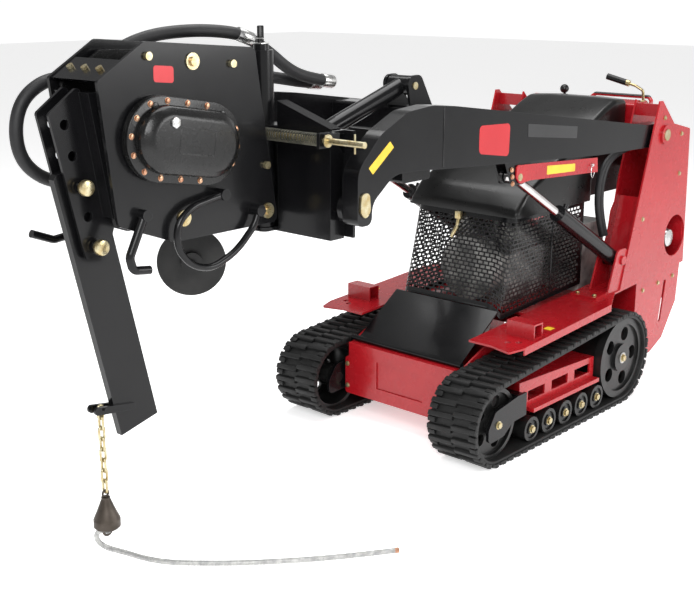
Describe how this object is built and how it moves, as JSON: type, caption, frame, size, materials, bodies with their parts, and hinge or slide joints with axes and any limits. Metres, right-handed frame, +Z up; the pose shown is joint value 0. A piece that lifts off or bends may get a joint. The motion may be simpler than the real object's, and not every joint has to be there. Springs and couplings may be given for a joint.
{
  "type": "tracked utility loader with cable plow",
  "caption": "Compact rubber-tracked utility loader with two lift arms that carry a vibrating plow blade, pull chain, pulling bullet and woven cable grip.",
  "frame": {"origin": "on the ground, under the middle of the machine's length and width (cable grip left out)", "axes": "+Z up, -Y towards the plow at the machine's front, +X towards the machine's left side"},
  "size_m": [1.1821, 3.1064, 1.6262],
  "materials": {
    "track_rubber": "matte moulded rubber",
    "black_steel": "satin black paint, worn at the rims",
    "black_paint": "gloss black powder coat",
    "red_paint": "gloss red powder coat",
    "engine_metal": "cast aluminium, black shrouds",
    "black_plastic": "moulded plastic",
    "yellow_zinc": "yellow zinc plated",
    "chrome": "hard chrome",
    "black_rubber": "moulded rubber",
    "black_cast": "casting under gloss black paint",
    "bare_steel": "mill finish, darkened",
    "hose_rubber": "hydraulic hose cover",
    "woven_wire": "woven galvanised wire",
    "label_red": "blank printed decal",
    "label_yellow": "blank printed decal"
  },
  "bodies": {
    "chassis": {"main_frame": "red_paint", "front_panel": "red_paint", "front_ramp": "black_paint", "deck_fenders": "red_paint", "towers": "red_paint", "engine_block": "engine_metal", "engine_fittings": "black_cast", "grille_guard": "black_paint", "front_hood": "black_paint", "rear_hood": "black_paint", "control_console": "red_paint", "chassis_bolts": "yellow_zinc", "track_frames": "red_paint", "idler_forks": "black_paint", "track_left": "track_rubber", "track_right": "track_rubber"},
    "arms": {"loader_arms": "black_paint", "arm_pins": "yellow_zinc", "cylinder_lock": "red_paint"},
    "lift_rods": {"lift_rods": "chrome"},
    "lift_barrels": {"lift_barrels": "black_paint"},
    "tilt_barrel": {"tilt_barrel": "black_paint"},
    "tilt_rod": {"tilt_rod": "chrome"},
    "tool_plate": {"attach_plate": "black_paint", "swing_frame": "black_paint", "centering_spring": "yellow_zinc"},
    "centering_rod": {"centering_rod": "yellow_zinc"},
    "plow": {"plow_plates": "black_paint", "plow_bolts": "yellow_zinc", "plow_rods": "black_paint", "plow_hoses": "hose_rubber", "isolators": "black_rubber"},
    "shaker": {"gearbox_housing": "black_cast", "gearbox_cover": "black_cast", "shaker_motor": "black_cast", "blade_bracket": "black_paint", "blade": "black_paint", "shaker_fasteners": "yellow_zinc"},
    "eccentric_front": {"eccentric_front": "black_steel"},
    "eccentric_rear": {"eccentric_rear": "black_steel"},
    "coulter_disc": {"coulter_disc": "bare_steel"},
    "drag_chain": {"drag_chain": "yellow_zinc"},
    "puller_bullet": {"puller_bullet": "bare_steel", "cable_grip": "woven_wire"},
    "traction_lever": {"traction_lever": "black_plastic"},
    "attachment_lever": {"attachment_lever": "black_plastic"},
    "sprocket_left": {"sprocket_left": "black_steel"},
    "idler_left": {"idler_left": "black_steel"},
    "road_wheel_left_1": {"road_wheel_left_1": "black_steel"},
    "road_wheel_left_2": {"road_wheel_left_2": "black_steel"},
    "road_wheel_left_3": {"road_wheel_left_3": "black_steel"},
    "road_wheel_left_4": {"road_wheel_left_4": "black_steel"},
    "road_wheel_left_5": {"road_wheel_left_5": "black_steel"},
    "sprocket_right": {"sprocket_right": "black_steel"},
    "idler_right": {"idler_right": "black_steel"},
    "road_wheel_right_1": {"road_wheel_right_1": "black_steel"},
    "road_wheel_right_2": {"road_wheel_right_2": "black_steel"},
    "road_wheel_right_3": {"road_wheel_right_3": "black_steel"},
    "road_wheel_right_4": {"road_wheel_right_4": "black_steel"},
    "road_wheel_right_5": {"road_wheel_right_5": "black_steel"}
  },
  "joints": [
    {"name": "sprocket_left_spin", "type": "hinge", "parent": "chassis", "child": "sprocket_left", "pos_m": [0.403, 0.9022, 0.203], "axis": [1, 0, 0], "continuous": true},
    {"name": "idler_left_spin", "type": "hinge", "parent": "chassis", "child": "idler_left", "pos_m": [0.403, -0.0178, 0.165], "axis": [1, 0, 0], "continuous": true},
    {"name": "road_wheel_left_1_spin", "type": "hinge", "parent": "chassis", "child": "road_wheel_left_1", "pos_m": [0.403, 0.2192, 0.078], "axis": [1, 0, 0], "continuous": true},
    {"name": "road_wheel_left_2_spin", "type": "hinge", "parent": "chassis", "child": "road_wheel_left_2", "pos_m": [0.403, 0.3412, 0.078], "axis": [1, 0, 0], "continuous": true},
    {"name": "road_wheel_left_3_spin", "type": "hinge", "parent": "chassis", "child": "road_wheel_left_3", "pos_m": [0.403, 0.4632, 0.078], "axis": [1, 0, 0], "continuous": true},
    {"name": "road_wheel_left_4_spin", "type": "hinge", "parent": "chassis", "child": "road_wheel_left_4", "pos_m": [0.403, 0.5852, 0.078], "axis": [1, 0, 0], "continuous": true},
    {"name": "road_wheel_left_5_spin", "type": "hinge", "parent": "chassis", "child": "road_wheel_left_5", "pos_m": [0.403, 0.7072, 0.078], "axis": [1, 0, 0], "continuous": true},
    {"name": "sprocket_right_spin", "type": "hinge", "parent": "chassis", "child": "sprocket_right", "pos_m": [-0.403, 0.9022, 0.203], "axis": [1, 0, 0], "continuous": true},
    {"name": "idler_right_spin", "type": "hinge", "parent": "chassis", "child": "idler_right", "pos_m": [-0.403, -0.0178, 0.165], "axis": [1, 0, 0], "continuous": true},
    {"name": "road_wheel_right_1_spin", "type": "hinge", "parent": "chassis", "child": "road_wheel_right_1", "pos_m": [-0.403, 0.2192, 0.078], "axis": [1, 0, 0], "continuous": true},
    {"name": "road_wheel_right_2_spin", "type": "hinge", "parent": "chassis", "child": "road_wheel_right_2", "pos_m": [-0.403, 0.3412, 0.078], "axis": [1, 0, 0], "continuous": true},
    {"name": "road_wheel_right_3_spin", "type": "hinge", "parent": "chassis", "child": "road_wheel_right_3", "pos_m": [-0.403, 0.4632, 0.078], "axis": [1, 0, 0], "continuous": true},
    {"name": "road_wheel_right_4_spin", "type": "hinge", "parent": "chassis", "child": "road_wheel_right_4", "pos_m": [-0.403, 0.5852, 0.078], "axis": [1, 0, 0], "continuous": true},
    {"name": "road_wheel_right_5_spin", "type": "hinge", "parent": "chassis", "child": "road_wheel_right_5", "pos_m": [-0.403, 0.7072, 0.078], "axis": [1, 0, 0], "continuous": true},
    {"name": "arm_lift", "type": "hinge", "parent": "chassis", "child": "arms", "pos_m": [0, 1.2842, 1.116], "axis": [-1, 0, 0], "range_deg": [-24, 15]},
    {"name": "lift_rod_pivot", "type": "hinge", "parent": "arms", "child": "lift_rods", "pos_m": [0, 0.1922, 1.059], "axis": [-1, 0, 0], "range_deg": [-1.47, 0.92]},
    {"name": "lift_stroke", "type": "slide", "parent": "lift_rods", "child": "lift_barrels", "axis": [0, 0.8689, -0.495], "range_m": [-0.24781, 0.15488]},
    {"name": "tilt_barrel_pivot", "type": "hinge", "parent": "arms", "child": "tilt_barrel", "pos_m": [0, 0.0032, 1.385], "axis": [-1, 0, 0], "range_deg": [-3.06, 4.9]},
    {"name": "tilt_stroke", "type": "slide", "parent": "tilt_barrel", "child": "tilt_rod", "axis": [0, -0.9519, -0.3063], "range_m": [-0.05007, 0.08011]},
    {"name": "plate_tilt", "type": "hinge", "parent": "arms", "child": "tool_plate", "pos_m": [0, -0.6688, 1.053], "axis": [-1, 0, 0], "range_deg": [-40, 25], "deforming": ["plow_hoses"]},
    {"name": "plow_swing", "type": "hinge", "parent": "tool_plate", "child": "plow", "pos_m": [0, -0.7178, 1.26], "axis": [0, 0, 1], "range_deg": [-10, 10], "stiffness_Nm_per_rad": 3000, "deforming": ["plow_hoses"]},
    {"name": "centering_slide", "type": "slide", "parent": "tool_plate", "child": "centering_rod", "axis": [1, 0, 0], "range_m": [-0.00979, 0.00979], "deforming": ["centering_spring"]},
    {"name": "blade_shake", "type": "slide", "parent": "plow", "child": "shaker", "axis": [0, 0, 1], "range_m": [-0.003, 0.003], "stiffness_N_per_m": 1000000, "springref_m": 0.0017, "deforming": ["isolators", "plow_hoses"]},
    {"name": "eccentric_front_spin", "type": "hinge", "parent": "shaker", "child": "eccentric_front", "pos_m": [0, -1.25161, 1.31418], "axis": [1, 0, 0], "continuous": true},
    {"name": "eccentric_rear_spin", "type": "hinge", "parent": "shaker", "child": "eccentric_rear", "pos_m": [0, -1.08399, 1.28582], "axis": [1, 0, 0], "continuous": true},
    {"name": "coulter_spin", "type": "hinge", "parent": "plow", "child": "coulter_disc", "pos_m": [0, -1.0408, 0.892], "axis": [0.8192, -0.5736, 0], "continuous": true},
    {"name": "chain_swing", "type": "hinge", "parent": "shaker", "child": "drag_chain", "pos_m": [0, -1.4198, 0.5], "axis": [1, 0, 0], "range_deg": [-30, 15], "deforming": ["cable_grip"]},
    {"name": "bullet_swing", "type": "hinge", "parent": "drag_chain", "child": "puller_bullet", "pos_m": [0, -1.4198, 0.22015], "axis": [1, 0, 0], "range_deg": [-40, 40], "deforming": ["cable_grip"]},
    {"name": "traction_lever_tilt", "type": "hinge", "parent": "chassis", "child": "traction_lever", "pos_m": [-0.166, 1.4222, 1.188], "axis": [1, 0, 0], "range_deg": [-12, 12], "stiffness_Nm_per_rad": 4},
    {"name": "attachment_lever_tilt", "type": "hinge", "parent": "chassis", "child": "attachment_lever", "pos_m": [0.272, 1.3672, 1.24], "axis": [1, 0, 0], "range_deg": [-10, 10], "stiffness_Nm_per_rad": 8}
  ],
  "couplings": [
    {"joint": "idler_left_spin", "follows": "sprocket_left_spin", "ratio": 1.278},
    {"joint": "road_wheel_left_1_spin", "follows": "sprocket_left_spin", "ratio": 3.5151},
    {"joint": "road_wheel_left_2_spin", "follows": "sprocket_left_spin", "ratio": 3.5151},
    {"joint": "road_wheel_left_3_spin", "follows": "sprocket_left_spin", "ratio": 3.5151},
    {"joint": "road_wheel_left_4_spin", "follows": "sprocket_left_spin", "ratio": 3.5151},
    {"joint": "road_wheel_left_5_spin", "follows": "sprocket_left_spin", "ratio": 3.5151},
    {"joint": "idler_right_spin", "follows": "sprocket_right_spin", "ratio": 1.278},
    {"joint": "road_wheel_right_1_spin", "follows": "sprocket_right_spin", "ratio": 3.5151},
    {"joint": "road_wheel_right_2_spin", "follows": "sprocket_right_spin", "ratio": 3.5151},
    {"joint": "road_wheel_right_3_spin", "follows": "sprocket_right_spin", "ratio": 3.5151},
    {"joint": "road_wheel_right_4_spin", "follows": "sprocket_right_spin", "ratio": 3.5151},
    {"joint": "road_wheel_right_5_spin", "follows": "sprocket_right_spin", "ratio": 3.5151},
    {"joint": "lift_rod_pivot", "follows": "arm_lift", "ratio": 0.06},
    {"joint": "lift_stroke", "follows": "arm_lift", "m_per_rad": 0.58},
    {"joint": "tilt_barrel_pivot", "follows": "plate_tilt", "ratio": -0.12},
    {"joint": "tilt_stroke", "follows": "plate_tilt", "m_per_rad": -0.1125},
    {"joint": "centering_slide", "follows": "plow_swing", "m_per_rad": 0.055},
    {"joint": "eccentric_rear_spin", "follows": "eccentric_front_spin", "ratio": -1}
  ]
}
